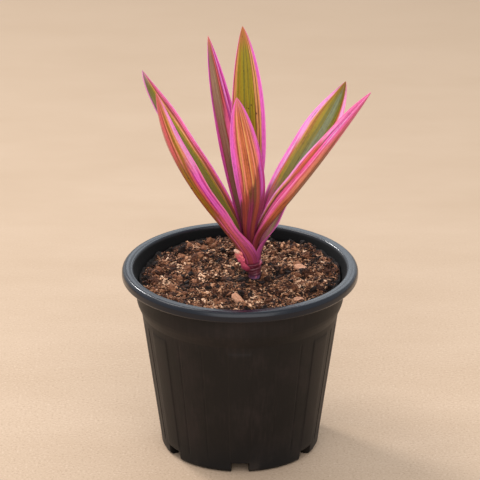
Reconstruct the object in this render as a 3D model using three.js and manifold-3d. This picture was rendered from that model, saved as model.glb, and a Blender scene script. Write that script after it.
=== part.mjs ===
// A young three-coloured oyster plant in a 150 mm nursery pot: seven leaves that clasp one short leaning
// stem, a fill of rough potting mix, and a tapered plastic pot with a rolled rim, a collar, shallow
// grooves and drainage notches. Millimetres, +Z up, standing on Z = 0, with -Y towards the viewer.
import * as THREE from "three";
import * as BufferGeometryUtils from "three/addons/utils/BufferGeometryUtils.js";
import Module from "manifold-3d";

const wasm = await Module();
wasm.setup();

// Driving dimensions of the pot.
const POT_HEIGHT = 121.8;
const RIM_RADIUS = 75;
const RIM_DEPTH = 6.7;
const WALL = 1.5;
const COLLAR_RADIUS = 65.7;
const COLLAR_FOOT = 100.5;
const TAPER_TOP = { radius: 62.7, height: 92.6 };
const TAPER_FOOT = { radius: 50.8, height: 5.7 };
const FOOT_RADIUS = 47.7;
const FOOT_WIDTH = 3;
const FLOOR_HEIGHT = 8;
const POT_COLUMNS = 60;
const NOTCH = { width: 11.5, height: 7, reach: 12 };
const DRAIN = { radius: 4, ring: 37 };
const GROOVE = { depth: 0.6, width: 1.6, foot: 9, top: 88 };
const PANEL = { rise: 0.35, halfAngle: 7, foot: 10, top: 86 };

// Degrees from the front. The notches stand further apart at the left and the right than elsewhere, with
// a drain hole between each two, and the grooves repeat in every quadrant.
const NOTCH_ANGLES = [0, 55.5, 124.5, 180, 235.5, 304.5];
const DRAIN_ANGLES = [28, 90, 152, 208, 270, 332];
const GROOVE_ANGLES = [23, 38.5, 68.3, 75.5]
  .flatMap((angle) => [angle, 180 - angle, 180 + angle, 360 - angle]);

// Driving dimensions of the potting mix.
const CLEARANCE = 0.3;
const SOIL_LEVEL = 113.2;
const SOIL_COLUMNS = 42;
const SOIL_RINGS = 11;
const LUMPS = { waves: 9, longest: 46, shortest: 8, height: 0.55, turn: 2.4 };
const MOUND = { height: 1.2, width: 14 };
const BANK = { rise: 3.4, least: 0.4, from: 30, to: 62, facing: 60 };
const CLODS = { count: 22, smallest: 1.6, largest: 3.2, turn: 2.4, reach: 57, seed: 7 };
const BARK_CHIPS = [
  { x: -1.3, y: -37.5, length: 8.5, width: 4.6, yaw: -62 },
  { x: 39.2, y: 12.2, length: 9.5, width: 4.4, yaw: -28 },
  { x: 36.7, y: -37.8, length: 6.5, width: 3.6, yaw: 15 },
];

// The stem stands on STEM_FOOT at the mix's surface and leans to the left by STEM_LEAN per millimetre.
const STEM_FOOT = new THREE.Vector3(9.5, 0, 114);
const STEM_LEAN = -0.14;
const STEM_COLUMNS = 20;

// Leaves, from the outermost sheath inwards. Each sheath clasps the stem at sheathHeight, bent to
// sheathRadius over clasp degrees on each side of its back, which faces facing degrees from +X. The
// midrib climbs along the stem, then leans out to its tip. The tip stands reach away from the stem at
// bearing degrees, tipHeight above the floor, and its last tipRun points at heading and slope. The
// blade is halfWidth wide on each side where it is widest, cup degrees and fold make its channel, turn
// is its twist, and opensBy and widestAt are shares of its length.
const LEAVES = {
  leaf_left_front: {
    sheathHeight: 124.5, sheathRadius: 6.4, facing: 217, clasp: 98, opensBy: 0.25, climb: 23,
    bearing: 218, reach: 75, tipHeight: 256, tipRun: 72, heading: 218, slope: 82,
    halfWidth: 11.7, widestAt: 0.48, cup: 18, fold: 0.33, turn: 5, color: 0xc05a6a,
  },
  leaf_right_back: {
    sheathHeight: 127, sheathRadius: 5.4, facing: 34, clasp: 104, opensBy: 0.2, climb: 16,
    bearing: 40, reach: 78, tipHeight: 228, tipRun: 34, heading: 40, slope: 85,
    halfWidth: 13.6, widestAt: 0.57, cup: 18, fold: 0.6, turn: 16, color: 0x8a8a5a,
  },
  leaf_right_front: {
    sheathHeight: 128.5, sheathRadius: 4.4, facing: -1, clasp: 82, opensBy: 0.4, climb: 21,
    bearing: 0, reach: 74, tipHeight: 239, tipRun: 114, heading: 0, slope: 58,
    halfWidth: 13.1, widestAt: 0.32, cup: 65, fold: 0.14, turn: 2, color: 0xd8707a,
  },
  leaf_left_back: {
    sheathHeight: 128.5, sheathRadius: 4.4, facing: 155, clasp: 72, opensBy: 0.5, climb: 29,
    bearing: 157, reach: 75, tipHeight: 243, tipRun: 31, heading: 157, slope: 84,
    halfWidth: 9.8, widestAt: 0.63, cup: 28, fold: 0.3, turn: -3, color: 0x8c7a3c,
  },
  leaf_front: {
    sheathHeight: 130, sheathRadius: 3.4, facing: 273, clasp: 90, opensBy: 0.4, climb: 39,
    bearing: 245, reach: 22, tipHeight: 243, tipRun: 88, heading: 150, slope: 74,
    halfWidth: 11.7, widestAt: 0.56, cup: 58, fold: 0.29, turn: 17, color: 0xc8705a,
  },
  leaf_back_left: {
    sheathHeight: 130, sheathRadius: 3.4, facing: 119, clasp: 60, opensBy: 0.45, climb: 24,
    bearing: 136, reach: 38, tipHeight: 267, tipRun: 42, heading: 136, slope: 81,
    halfWidth: 9.2, widestAt: 0.38, cup: 52, fold: 0.3, turn: -6, color: 0x84685a,
  },
  leaf_back: {
    sheathHeight: 131.5, sheathRadius: 2.4, facing: 88, clasp: 70, opensBy: 0.35, climb: 15,
    bearing: 109, reach: 17, tipHeight: 277, tipRun: 39, heading: 109, slope: 69,
    halfWidth: 11.5, widestAt: 0.5, cup: 33, fold: 0.22, turn: 8, color: 0x8c8a30,
  },
};
const BLADE = { thickness: 0.7, rows: 24, columns: 8, lastRow: 0.985, taper: 2.4, fineness: 0.85 };

const { degToRad, radToDeg, smoothstep, lerp } = THREE.MathUtils;

// Solids: closed meshes joined and cut as manifolds.

function toSolid(geometry) {
  const bare = geometry.clone();
  for (const name of Object.keys(bare.attributes)) {
    if (name !== "position") bare.deleteAttribute(name);
  }
  const merged = BufferGeometryUtils.mergeVertices(bare, 1e-4);
  return new wasm.Manifold(new wasm.Mesh({
    numProp: 3,
    vertProperties: new Float32Array(merged.attributes.position.array),
    triVerts: new Uint32Array(merged.index.array),
  }));
}

function toGeometry(solid) {
  const mesh = solid.getMesh();
  const geometry = new THREE.BufferGeometry();
  geometry.setAttribute("position", new THREE.BufferAttribute(new Float32Array(mesh.vertProperties), 3));
  geometry.setIndex(new THREE.BufferAttribute(new Uint32Array(mesh.triVerts), 1));
  return geometry;
}

function makeMesh(name, geometry, color, roughness) {
  const material = new THREE.MeshStandardMaterial({ color, roughness, metalness: 0 });
  const mesh = new THREE.Mesh(geometry, material);
  mesh.name = name;
  return mesh;
}

// A lathe turned about Z from (radius, height) pairs.
function latheAboutZ(profile, columns) {
  const points = profile.map(([radius, height]) => new THREE.Vector2(radius, height));
  return new THREE.LatheGeometry(points, columns).rotateX(Math.PI / 2);
}

// A closed skin over flattened rings of equal size: both ends of a ring's two sides are joined across at
// the first ring, and the last ring runs to the tip.
function closedSkin(rings, tip) {
  const size = rings[0].length;
  const points = [...rings.flat(), tip];
  const index = [];
  for (let row = 0; row < rings.length - 1; row += 1) {
    for (let k = 0; k < size; k += 1) {
      const a = row * size + k;
      const b = row * size + (k + 1) % size;
      index.push(a, b + size, b, a, a + size, b + size);
    }
  }
  for (let k = 0; k < size / 2 - 1; k += 1) {
    index.push(k, size - 2 - k, size - 1 - k, k, k + 1, size - 2 - k);
  }
  const last = (rings.length - 1) * size;
  for (let k = 0; k < size; k += 1) {
    index.push(last + k, points.length - 1, last + (k + 1) % size);
  }
  const geometry = new THREE.BufferGeometry().setFromPoints(points);
  geometry.setIndex(index);
  return geometry;
}

// Pot.

function taperRadius(height) {
  const share = (height - TAPER_FOOT.height) / (TAPER_TOP.height - TAPER_FOOT.height);
  return lerp(TAPER_FOOT.radius, TAPER_TOP.radius, share);
}

// The outside from the floor's underside up the wall and over the collar to the rim's skirt.
function outerProfile() {
  const skirtFoot = POT_HEIGHT - RIM_DEPTH;
  const skirtInside = RIM_RADIUS - 2;
  return [
    [0, FLOOR_HEIGHT], [FOOT_RADIUS - FOOT_WIDTH - 0.4, FLOOR_HEIGHT],
    [FOOT_RADIUS - FOOT_WIDTH, 0], [FOOT_RADIUS, 0], [FOOT_RADIUS + 1.9, 0.9],
    [FOOT_RADIUS + 2.8, 2.4], [TAPER_FOOT.radius, TAPER_FOOT.height],
    [taperRadius(8), 8], [taperRadius(12), 12], [taperRadius(84), 84], [taperRadius(88), 88],
    [TAPER_TOP.radius, TAPER_TOP.height], [COLLAR_RADIUS - 2.3, 94.2], [COLLAR_RADIUS - 0.7, 98],
    [COLLAR_RADIUS, COLLAR_FOOT], [COLLAR_RADIUS + 0.4, 112], [COLLAR_RADIUS + 1.3, 115.2],
    [COLLAR_RADIUS + 3.6, 117.9], [skirtInside - 1.2, 119.3], [skirtInside, 118.3],
    [skirtInside, skirtFoot], [RIM_RADIUS - 0.6, skirtFoot], [RIM_RADIUS, skirtFoot + 0.9],
    [RIM_RADIUS, POT_HEIGHT - 2.8], [RIM_RADIUS - 0.5, POT_HEIGHT - 1.4],
    [RIM_RADIUS - 1.6, POT_HEIGHT - 0.3], [RIM_RADIUS - 2.8, POT_HEIGHT],
  ];
}

// The inside from the rim's lip down to the floor.
function innerProfile() {
  return [
    [RIM_RADIUS - 6.2, POT_HEIGHT - 0.1], [RIM_RADIUS - 7, POT_HEIGHT - 0.8],
    [COLLAR_RADIUS + 1, 118.7], [COLLAR_RADIUS - 0.6, 115.1], [COLLAR_RADIUS - WALL, 111.5],
    [COLLAR_RADIUS - WALL, COLLAR_FOOT + 0.6], [TAPER_TOP.radius - WALL, TAPER_TOP.height + 0.6],
    [taperRadius(13) - WALL, 13], [taperRadius(10) - WALL - 1.3, FLOOR_HEIGHT + WALL + 0.6],
    [taperRadius(10) - WALL - 3, FLOOR_HEIGHT + WALL], [0, FLOOR_HEIGHT + WALL],
  ];
}

// Degrees between a direction and the nearest notch's.
function angleFromNotch(angle) {
  return Math.min(...NOTCH_ANGLES.map((notch) => Math.abs((angle - notch + 540) % 360 - 180)));
}

// Over each notch the tapered wall bulges out into a shallow upright panel.
function raisePanels(geometry) {
  const position = geometry.attributes.position;
  for (let i = 0; i < position.count; i += 1) {
    const x = position.getX(i);
    const y = position.getY(i);
    const height = position.getZ(i);
    const radius = Math.hypot(x, y);
    const angle = radToDeg(Math.atan2(x, -y));
    const onOutside = radius > taperRadius(height) - WALL / 2;
    const onWall = height > PANEL.foot && height < PANEL.top && onOutside;
    if (onWall && angleFromNotch(angle) < PANEL.halfAngle) {
      const scale = (radius + PANEL.rise) / radius;
      position.setXY(i, x * scale, y * scale);
    }
  }
  return geometry;
}

// A slim square bar, turned on its edge and laid along the taper at an angle from the front.
function grooveCutter(angle) {
  const length = GROOVE.top - GROOVE.foot;
  const side = GROOVE.width / Math.SQRT2;
  const middle = (GROOVE.top + GROOVE.foot) / 2;
  const outset = GROOVE.width / 2 - GROOVE.depth;
  const slope = Math.atan2(taperRadius(GROOVE.top) - taperRadius(GROOVE.foot), length);
  return new THREE.BoxGeometry(side, side, length)
    .rotateZ(Math.PI / 4)
    .rotateX(slope)
    .translate(0, -taperRadius(middle) - outset, middle)
    .rotateZ(degToRad(angle));
}

function notchCutter(angle) {
  return new THREE.BoxGeometry(NOTCH.width, NOTCH.reach, 2 * NOTCH.height)
    .translate(0, -FOOT_RADIUS, 0)
    .rotateZ(degToRad(angle));
}

function drainCutter(angle) {
  return new THREE.CylinderGeometry(DRAIN.radius, DRAIN.radius, 4 * WALL, 16)
    .rotateX(Math.PI / 2)
    .translate(0, -DRAIN.ring, FLOOR_HEIGHT + WALL / 2)
    .rotateZ(degToRad(angle));
}

function makePot() {
  let pot = toSolid(raisePanels(latheAboutZ([...outerProfile(), ...innerProfile()], POT_COLUMNS)));
  const cutters = [
    ...NOTCH_ANGLES.map(notchCutter), ...DRAIN_ANGLES.map(drainCutter), ...GROOVE_ANGLES.map(grooveCutter),
  ];
  for (const cutter of cutters) {
    pot = pot.subtract(toSolid(cutter));
  }
  return makeMesh("pot", toGeometry(pot), 0x2a2827, 0.6);
}

// Potting mix.

// The lumpy surface: a sum of waves that shorten as their direction turns, with a low mound by the stem
// and a bank up against the wall, which is highest on the side that it faces, at the back right.
function soilHeight(x, y) {
  let height = SOIL_LEVEL;
  for (let k = 0; k < LUMPS.waves; k += 1) {
    const share = k / (LUMPS.waves - 1);
    const wavelength = LUMPS.longest * (LUMPS.shortest / LUMPS.longest) ** share;
    const direction = k * LUMPS.turn;
    const along = x * Math.cos(direction) + y * Math.sin(direction);
    height += LUMPS.height * Math.sin(2 * Math.PI * along / wavelength + 1.7 * k) * (1 - 0.5 * share);
  }
  const fromStem = Math.hypot(x - STEM_FOOT.x, y - STEM_FOOT.y);
  const side = (1 + Math.cos(Math.atan2(y, x) - degToRad(BANK.facing))) / 2;
  const bank = BANK.rise * lerp(BANK.least, 1, side) * smoothstep(Math.hypot(x, y), BANK.from, BANK.to);
  return height + MOUND.height * Math.exp(-((fromStem / MOUND.width) ** 2)) + bank;
}

function makeSoilBody() {
  const side = innerProfile().slice(4).map(([radius, height]) => [Math.max(radius - CLEARANCE, 0), height]);
  const edge = side[0][0];
  side[side.length - 1][1] += CLEARANCE;
  side[side.length - 2][1] += CLEARANCE;
  const top = [];
  for (let ring = 0; ring <= SOIL_RINGS; ring += 1) {
    top.push([edge * ring / SOIL_RINGS, POT_HEIGHT]);
  }
  const geometry = latheAboutZ([...side.slice(1).reverse(), ...top.reverse()], SOIL_COLUMNS);
  const position = geometry.attributes.position;
  for (let i = 0; i < position.count; i += 1) {
    if (position.getZ(i) > POT_HEIGHT - 1) {
      position.setZ(i, soilHeight(position.getX(i), position.getY(i)));
    }
  }
  return geometry;
}

// A seeded draw between 0 and 1.
function makeDraw(seed) {
  let state = seed;
  return () => {
    state = (state * 16807) % 2147483647;
    return state / 2147483647;
  };
}

function clodGeometries() {
  const draw = makeDraw(CLODS.seed);
  const clods = [];
  for (let i = 0; i < CLODS.count; i += 1) {
    const distance = CLODS.reach * Math.sqrt((i + 0.5) / CLODS.count);
    const x = distance * Math.cos(i * CLODS.turn);
    const y = distance * Math.sin(i * CLODS.turn);
    const size = lerp(CLODS.smallest, CLODS.largest, draw());
    clods.push(new THREE.IcosahedronGeometry(size, 0)
      .scale(1, 0.6 + 0.4 * draw(), 0.7)
      .rotateZ(2 * Math.PI * draw())
      .translate(x, y, soilHeight(x, y)));
  }
  return clods;
}

function chipGeometries() {
  return BARK_CHIPS.map(({ x, y, length, width, yaw }) => new THREE.BoxGeometry(length, width, 2.4)
    .rotateX(0.25)
    .rotateZ(degToRad(yaw))
    .translate(x, y, soilHeight(x, y) + 0.4));
}

function makeSoil() {
  let soil = toSolid(makeSoilBody());
  for (const lump of [...clodGeometries(), ...chipGeometries()]) {
    soil = soil.add(toSolid(lump));
  }
  const hole = placeOnStem(latheAboutZ(stemHoleProfile(), STEM_COLUMNS));
  return makeMesh("soil", toGeometry(soil.subtract(toSolid(hole))), 0x3a2a20, 0.95);
}

// Stem.

// Turns a shape made about Z into the leaning stem's place.
function placeOnStem(geometry) {
  return geometry.rotateY(Math.atan(STEM_LEAN)).translate(STEM_FOOT.x, STEM_FOOT.y, STEM_FOOT.z);
}

// Radii down the stem, as distances along it from the mix's surface: a buried heel, the bare stem with
// its leaf-scar rings, the swollen collar under the lowest sheath, and the tapering crown in the sheaths.
function stemProfile() {
  return [
    [0, -22], [2.2, -21], [3.2, -18], [3.6, -4], [3.9, 0], [3.8, 2.4], [4.3, 3.1], [4.1, 4],
    [4.3, 5.8], [4.9, 6.6], [4.7, 7.4], [5.2, 8.6], [6.2, 9.6], [6.2, 10.5], [5.6, 10.9], [5.6, 12],
    [4.6, 12.4], [4.6, 13.6], [3.6, 14], [3.6, 15.6], [2.6, 16], [2.6, 17.2], [1.6, 17.6], [1.5, 18.6],
    [0, 19.4],
  ];
}

function stemHoleProfile() {
  const widest = 3.9 + CLEARANCE;
  return [[0, -22 - CLEARANCE], [widest, -21.5], [widest, 12], [0, 12]];
}

// The torn stub of an old leaf on the left of the collar: a tongue that narrows to a ragged tip.
function stubGeometry() {
  const spine = new THREE.CatmullRomCurve3([
    new THREE.Vector3(6.2, -1.8, 120.2), new THREE.Vector3(1.6, -5, 123),
    new THREE.Vector3(-1, -6.4, 128.6), new THREE.Vector3(-4.3, -7.4, 136.2),
  ]);
  const outward = new THREE.Vector3(Math.cos(degToRad(217)), Math.sin(degToRad(217)), 0);
  const rings = [0, 0.25, 0.5, 0.75, 0.94].map((u) => {
    const across = spine.getTangentAt(u).cross(outward).normalize();
    const depth = across.clone().cross(spine.getTangentAt(u)).normalize();
    const center = spine.getPointAt(u);
    return [0, 1, 2, 3, 4, 5].map((k) => {
      const angle = Math.PI / 6 + k * Math.PI / 3;
      return center.clone()
        .addScaledVector(across, lerp(2.8, 2, u) * Math.cos(angle))
        .addScaledVector(depth, lerp(1.2, 0.7, u) * Math.sin(angle));
    });
  });
  return closedSkin(rings, new THREE.Vector3(-5.3, -7.3, 137.6));
}

function budGeometry() {
  return new THREE.IcosahedronGeometry(1.9, 1).scale(1, 1, 1.5).translate(4.6, -2.6, 122.2);
}

function makeStem() {
  const column = placeOnStem(latheAboutZ(stemProfile(), STEM_COLUMNS));
  const stem = toSolid(column).add(toSolid(stubGeometry())).add(toSolid(budGeometry()));
  return makeMesh("stem", toGeometry(stem), 0x8a3a52, 0.55);
}

// Leaves.

function stemAxis(height) {
  return new THREE.Vector3(STEM_FOOT.x + STEM_LEAN * (height - STEM_FOOT.z), 0, height);
}

function compass(degrees) {
  return new THREE.Vector3(Math.cos(degToRad(degrees)), Math.sin(degToRad(degrees)), 0);
}

function midrib(leaf) {
  const upStem = new THREE.Vector3(STEM_LEAN, 0, 1).normalize();
  const center = stemAxis(leaf.sheathHeight);
  const foot = center.clone().addScaledVector(compass(leaf.facing), leaf.sheathRadius);
  const tip = center.clone().addScaledVector(compass(leaf.bearing), leaf.reach).setZ(leaf.tipHeight);
  const lean = compass(leaf.heading).multiplyScalar(Math.cos(degToRad(leaf.slope)));
  lean.z = Math.sin(degToRad(leaf.slope));
  return new THREE.CubicBezierCurve3(
    foot, foot.clone().addScaledVector(upStem, leaf.climb), tip.clone().addScaledVector(lean, -leaf.tipRun), tip);
}

// Half the blade's width at a share u of its length: it grows from the sheath to the widest place, and
// then runs to a drawn-out point.
function halfWidth(leaf, u) {
  const sheath = leaf.sheathRadius * degToRad(leaf.clasp);
  const grown = lerp(sheath, leaf.halfWidth, smoothstep(u, 0, leaf.widestAt));
  const past = Math.max((u - leaf.widestAt) / (1 - leaf.widestAt), 0);
  return grown * (1 - past ** BLADE.taper) ** BLADE.fineness;
}

// A point of the blade's middle surface, u along the midrib and w from -1 to 1 across it: an arc of the
// local width whose bend eases from the clasping sheath to the blade's shallow cup, plus a straight fold.
function bladePoint(leaf, curve, u, w) {
  const along = curve.getTangentAt(u);
  const inward = compass(leaf.facing + leaf.turn * smoothstep(u, 0.05, 0.75)).negate();
  inward.addScaledVector(along, -inward.dot(along)).normalize();
  const across = along.clone().cross(inward);
  const width = halfWidth(leaf, u);
  const bend = degToRad(lerp(leaf.clasp, leaf.cup, smoothstep(u, 0, leaf.opensBy)));
  const radius = width / bend;
  const fold = leaf.fold * smoothstep(u, 0.08, 0.35) * width * Math.abs(w);
  return curve.getPointAt(u)
    .addScaledVector(across, radius * Math.sin(bend * w))
    .addScaledVector(inward, radius * (1 - Math.cos(bend * w)) + fold);
}

function bladeNormal(leaf, curve, u, w) {
  const step = 1e-3;
  const alongStep = bladePoint(leaf, curve, Math.min(u + step, 1), w)
    .sub(bladePoint(leaf, curve, Math.max(u - step, 0), w));
  const acrossStep = bladePoint(leaf, curve, u, w + step).sub(bladePoint(leaf, curve, u, w - step));
  return alongStep.cross(acrossStep).normalize();
}

function makeLeaf([name, leaf]) {
  const curve = midrib(leaf);
  const rings = [];
  for (let row = 0; row < BLADE.rows; row += 1) {
    const u = BLADE.lastRow * row / (BLADE.rows - 1);
    const front = [];
    const back = [];
    for (let column = 0; column <= BLADE.columns; column += 1) {
      const w = 2 * column / BLADE.columns - 1;
      const point = bladePoint(leaf, curve, u, w);
      const offset = bladeNormal(leaf, curve, u, w).multiplyScalar(BLADE.thickness / 2);
      front.push(point.clone().add(offset));
      back.unshift(point.clone().sub(offset));
    }
    rings.push([...front, ...back]);
  }
  return makeMesh(name, closedSkin(rings, curve.getPoint(1)), leaf.color, 0.45);
}

// The plant is moved sideways so that the origin is under the middle of everything it spans.
const plant = new THREE.Group();
plant.add(makePot(), makeSoil(), makeStem(), ...Object.entries(LEAVES).map(makeLeaf));
plant.position.x = -new THREE.Box3().setFromObject(plant, true).getCenter(new THREE.Vector3()).x;
plant.updateMatrixWorld(true);

export default plant;
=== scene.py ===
"""The looks of a potted oyster plant: seven striped leaves on a short stem, rough potting mix and a
moulded nursery pot, on a plain pale floor in soft light.

Shapes are worked out in millimetres about the pot's axis, by the same rules as the part's own solids,
and put into the row frame in metres.
"""

import math

import bpy
import numpy as np
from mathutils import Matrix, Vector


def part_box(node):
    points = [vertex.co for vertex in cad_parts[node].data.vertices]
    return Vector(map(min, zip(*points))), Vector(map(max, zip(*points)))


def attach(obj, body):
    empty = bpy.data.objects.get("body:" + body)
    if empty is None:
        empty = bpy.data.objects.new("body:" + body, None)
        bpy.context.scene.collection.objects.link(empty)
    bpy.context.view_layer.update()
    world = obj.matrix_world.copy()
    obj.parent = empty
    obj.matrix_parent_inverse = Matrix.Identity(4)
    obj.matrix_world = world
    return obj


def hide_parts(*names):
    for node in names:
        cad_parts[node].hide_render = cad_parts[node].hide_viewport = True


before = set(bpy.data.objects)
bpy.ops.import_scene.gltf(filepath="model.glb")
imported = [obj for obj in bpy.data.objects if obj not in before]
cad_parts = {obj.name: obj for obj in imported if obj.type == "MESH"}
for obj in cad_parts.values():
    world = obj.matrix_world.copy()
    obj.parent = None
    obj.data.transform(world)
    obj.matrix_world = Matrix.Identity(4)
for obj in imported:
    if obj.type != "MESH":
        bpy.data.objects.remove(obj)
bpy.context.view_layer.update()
MM = 0.001
POT_LOW, POT_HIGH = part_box("pot")
AXIS_X = (POT_LOW.x + POT_HIGH.x) / 2


def vectors(*parts):
    """Vectors from their parts, each an array or a number."""
    return np.stack(np.broadcast_arrays(*parts), axis=-1)


def add_object(name, data):
    """Puts an object with this data in the scene."""
    made = bpy.data.objects.new(name, data)
    bpy.context.scene.collection.objects.link(made)
    return made


# Camera and lights.

CAMERA = {"distance": 2.207, "elevation": 22.8, "lens": 261.7, "target_height": 0.1394}

# Each soft box's place, size, power and colour.
LIGHTS = {
    "key_light": ((-1.0, 0.4, 1.95), 0.8, 16, (1.0, 0.97, 0.93)),
    "edge_light": ((-1.15, 1.3, 1.35), 0.35, 26, (1.0, 0.98, 0.98)),
    "front_light": ((0.1, -2.3, 1.7), 3.2, 62, (1.0, 0.98, 0.97)),
    "sky_light": ((0.5, 1.3, 1.5), 1.6, 16, (0.84, 0.92, 1.0)),
}


def make_camera():
    """Stands in front of the pot's axis, looking down at the plant's middle."""
    tilt = math.radians(CAMERA["elevation"])
    lens = bpy.data.cameras.new("camera")
    lens.lens = CAMERA["lens"]
    lens.sensor_width = 36
    lens.clip_end = 50
    camera = add_object("camera", lens)
    camera.location = (
        AXIS_X,
        -CAMERA["distance"] * math.cos(tilt),
        CAMERA["target_height"] + CAMERA["distance"] * math.sin(tilt),
    )
    camera.rotation_euler = (math.pi / 2 - tilt, 0, 0)
    bpy.context.scene.camera = camera


def make_lights():
    """Square soft boxes that face the middle of the plant, and a pale sky all round it."""
    target = Vector((AXIS_X, 0, CAMERA["target_height"]))
    for name, (place, size, power, colour) in LIGHTS.items():
        light = bpy.data.lights.new(name, "AREA")
        light.size, light.energy, light.color = size, power, colour
        lamp = add_object(name, light)
        lamp.location = place
        lamp.rotation_euler = (target - lamp.location).to_track_quat("-Z", "Y").to_euler()
    world = bpy.data.worlds.new("studio")
    world.use_nodes = True
    sky = world.node_tree.nodes["Background"].inputs
    sky["Color"].default_value = (0.94, 0.97, 1.0, 1)
    sky["Strength"].default_value = 0.82
    bpy.context.scene.world = world
    bpy.context.scene.view_settings.view_transform = "Standard"


# Materials.


def pigment(code):
    """A colour written as six hexadecimal digits, as linear red, green, blue and alpha."""
    share = np.array([int(code[i:i + 2], 16) for i in (0, 2, 4)]) / 255
    linear = np.where(share <= 0.04045, share / 12.92, ((share + 0.055) / 1.055) ** 2.4)
    return (*linear.tolist(), 1.0)


class Value:
    """A socket of a finish. Arithmetic on it adds Math nodes."""

    def __init__(self, finish, link):
        self.finish = finish
        self.link = link

    def calculate(self, operation, *operands):
        """Adds one Math node."""
        return self.finish.node("ShaderNodeMath", {"operation": operation}, dict(enumerate(operands)))

    def __add__(self, other):
        return self.calculate("ADD", self, other)

    def __sub__(self, other):
        return self.calculate("SUBTRACT", self, other)

    def __rsub__(self, other):
        return self.calculate("SUBTRACT", other, self)

    def __mul__(self, other):
        return self.calculate("MULTIPLY", self, other)

    def __pow__(self, other):
        return self.calculate("POWER", self, other)

    def __abs__(self):
        return self.calculate("ABSOLUTE", self)


class Finish:
    """A node material with one Principled shader. Colours are given to it as six hexadecimal digits."""

    def __init__(self, name, **constants):
        self.material = bpy.data.materials.new(name)
        self.material.use_nodes = True
        self.tree = self.material.node_tree
        self.shader = self.tree.nodes["Principled BSDF"]
        for socket, constant in constants.items():
            self.shader.inputs[socket.replace("_", " ")].default_value = constant

    def feed(self, socket, value):
        """Links the socket to a value, or gives it a number or a colour."""
        if isinstance(value, Value):
            self.tree.links.new(value.link, socket)
        else:
            socket.default_value = pigment(value) if isinstance(value, str) else value

    def node(self, kind, settings=None, values=None, output=0):
        """Adds a node, its settings first and then what its sockets are given."""
        made = self.tree.nodes.new(kind)
        for name, setting in (settings or {}).items():
            if name == "stops":
                self.set_stops(made.color_ramp, setting)
            else:
                setattr(made, name, setting)
        for name, value in (values or {}).items():
            self.feed(made.inputs[name], value)
        return Value(self, made.outputs[output])

    def set_stops(self, ramp, stops):
        """Gives a colour ramp its places and colours."""
        while len(ramp.elements) < len(stops):
            ramp.elements.new(0.5)
        for element, (position, colour) in zip(ramp.elements, stops):
            element.position = position
            element.color = pigment(colour)

    def shade(self, **values):
        """Feeds the shader's sockets."""
        for socket, value in values.items():
            self.feed(self.shader.inputs[socket.replace("_", " ")], value)

    def place(self):
        """Object coordinates in metres."""
        return self.node("ShaderNodeTexCoord", output="Object")

    def attribute(self, name):
        """The three parts of a vector that the mesh carries."""
        vector = self.node("ShaderNodeAttribute", {"attribute_name": name}, output="Vector")
        return self.parts(vector)

    def parts(self, vector):
        """The three parts of a vector."""
        split = self.node("ShaderNodeSeparateXYZ", values={0: vector}).link.node
        return [Value(self, split.outputs[i]) for i in range(3)]

    def join(self, x, y, z):
        """A vector from its three parts."""
        return self.node("ShaderNodeCombineXYZ", values={0: x, 1: y, 2: z})

    def noise(self, vector, scale, detail=2.0, roughness=0.5):
        """Soft noise, about 0.5 on average."""
        values = {"Vector": vector, "Scale": scale, "Detail": detail, "Roughness": roughness}
        return self.node("ShaderNodeTexNoise", values=values)

    def cells(self, vector):
        """Distance to the nearest of scattered points, one to each unit cell."""
        values = {"Vector": vector, "Scale": 1}
        return self.node("ShaderNodeTexVoronoi", values=values, output="Distance")

    def ease(self, value, start, end):
        """Runs smoothly from 0 at start to 1 at end."""
        settings = {"interpolation_type": "SMOOTHSTEP"}
        return self.node("ShaderNodeMapRange", settings, {0: value, 1: start, 2: end})

    def ramp(self, value, stops):
        """The colour at this value, between the stops."""
        return self.node("ShaderNodeValToRGB", {"stops": stops}, {0: value})

    def mix(self, first, second, share, blend="MIX"):
        """A colour between first and second."""
        settings = {"data_type": "RGBA", "blend_type": blend, "clamp_factor": True}
        return self.node("ShaderNodeMix", settings, {0: share, 6: first, 7: second}, output=2)

    def layers(self, colour, *coats):
        """Lays each coat over the colour, by its share."""
        for tint, share in coats:
            colour = self.mix(colour, tint, share)
        return colour

    def streaks(self, x, y, z, detail=2.0, roughness=0.5):
        """Noise over coordinates that are each stretched by their own factor."""
        return self.noise(self.join(x, y, z), 1, detail, roughness)

    def bump(self, height, distance, strength):
        """A surface that rises by up to the distance with the height."""
        values = {"Height": height, "Distance": distance, "Strength": strength}
        return self.node("ShaderNodeBump", values=values)


# Meshes.


def around(count):
    """Even steps round a circle."""
    return np.linspace(0, 2 * math.pi, count, endpoint=False)


def grid_quads(rows, columns):
    """Corner numbers of the faces of a grid whose last column is joined to its first."""
    row = np.arange(rows - 1)[:, None] * columns
    column = np.arange(columns)[None, :]
    after = (column + 1) % columns
    return vectors(row + column, row + after, row + columns + after, row + columns + column).reshape(-1, 4)


def fan(ring, pole):
    """Triangles from a closed ring of vertex numbers to one pole."""
    return vectors(ring, np.roll(ring, -1), pole)


def copies(faces, count, size):
    """The faces of count copies of a mesh that has size points."""
    offsets = np.arange(count)[:, None, None] * size
    return [(group[None] + offsets).reshape(-1, group.shape[1]) for group in faces]


def fill_mesh(mesh, points, groups):
    """Gives a mesh points in millimetres about the pot's axis, and groups of faces."""
    placed = np.asarray(points, float).reshape(-1, 3) * MM + np.array([AXIS_X, 0, 0])
    mesh.from_pydata(placed.tolist(), [], [face for group in groups for face in group.tolist()])


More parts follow.
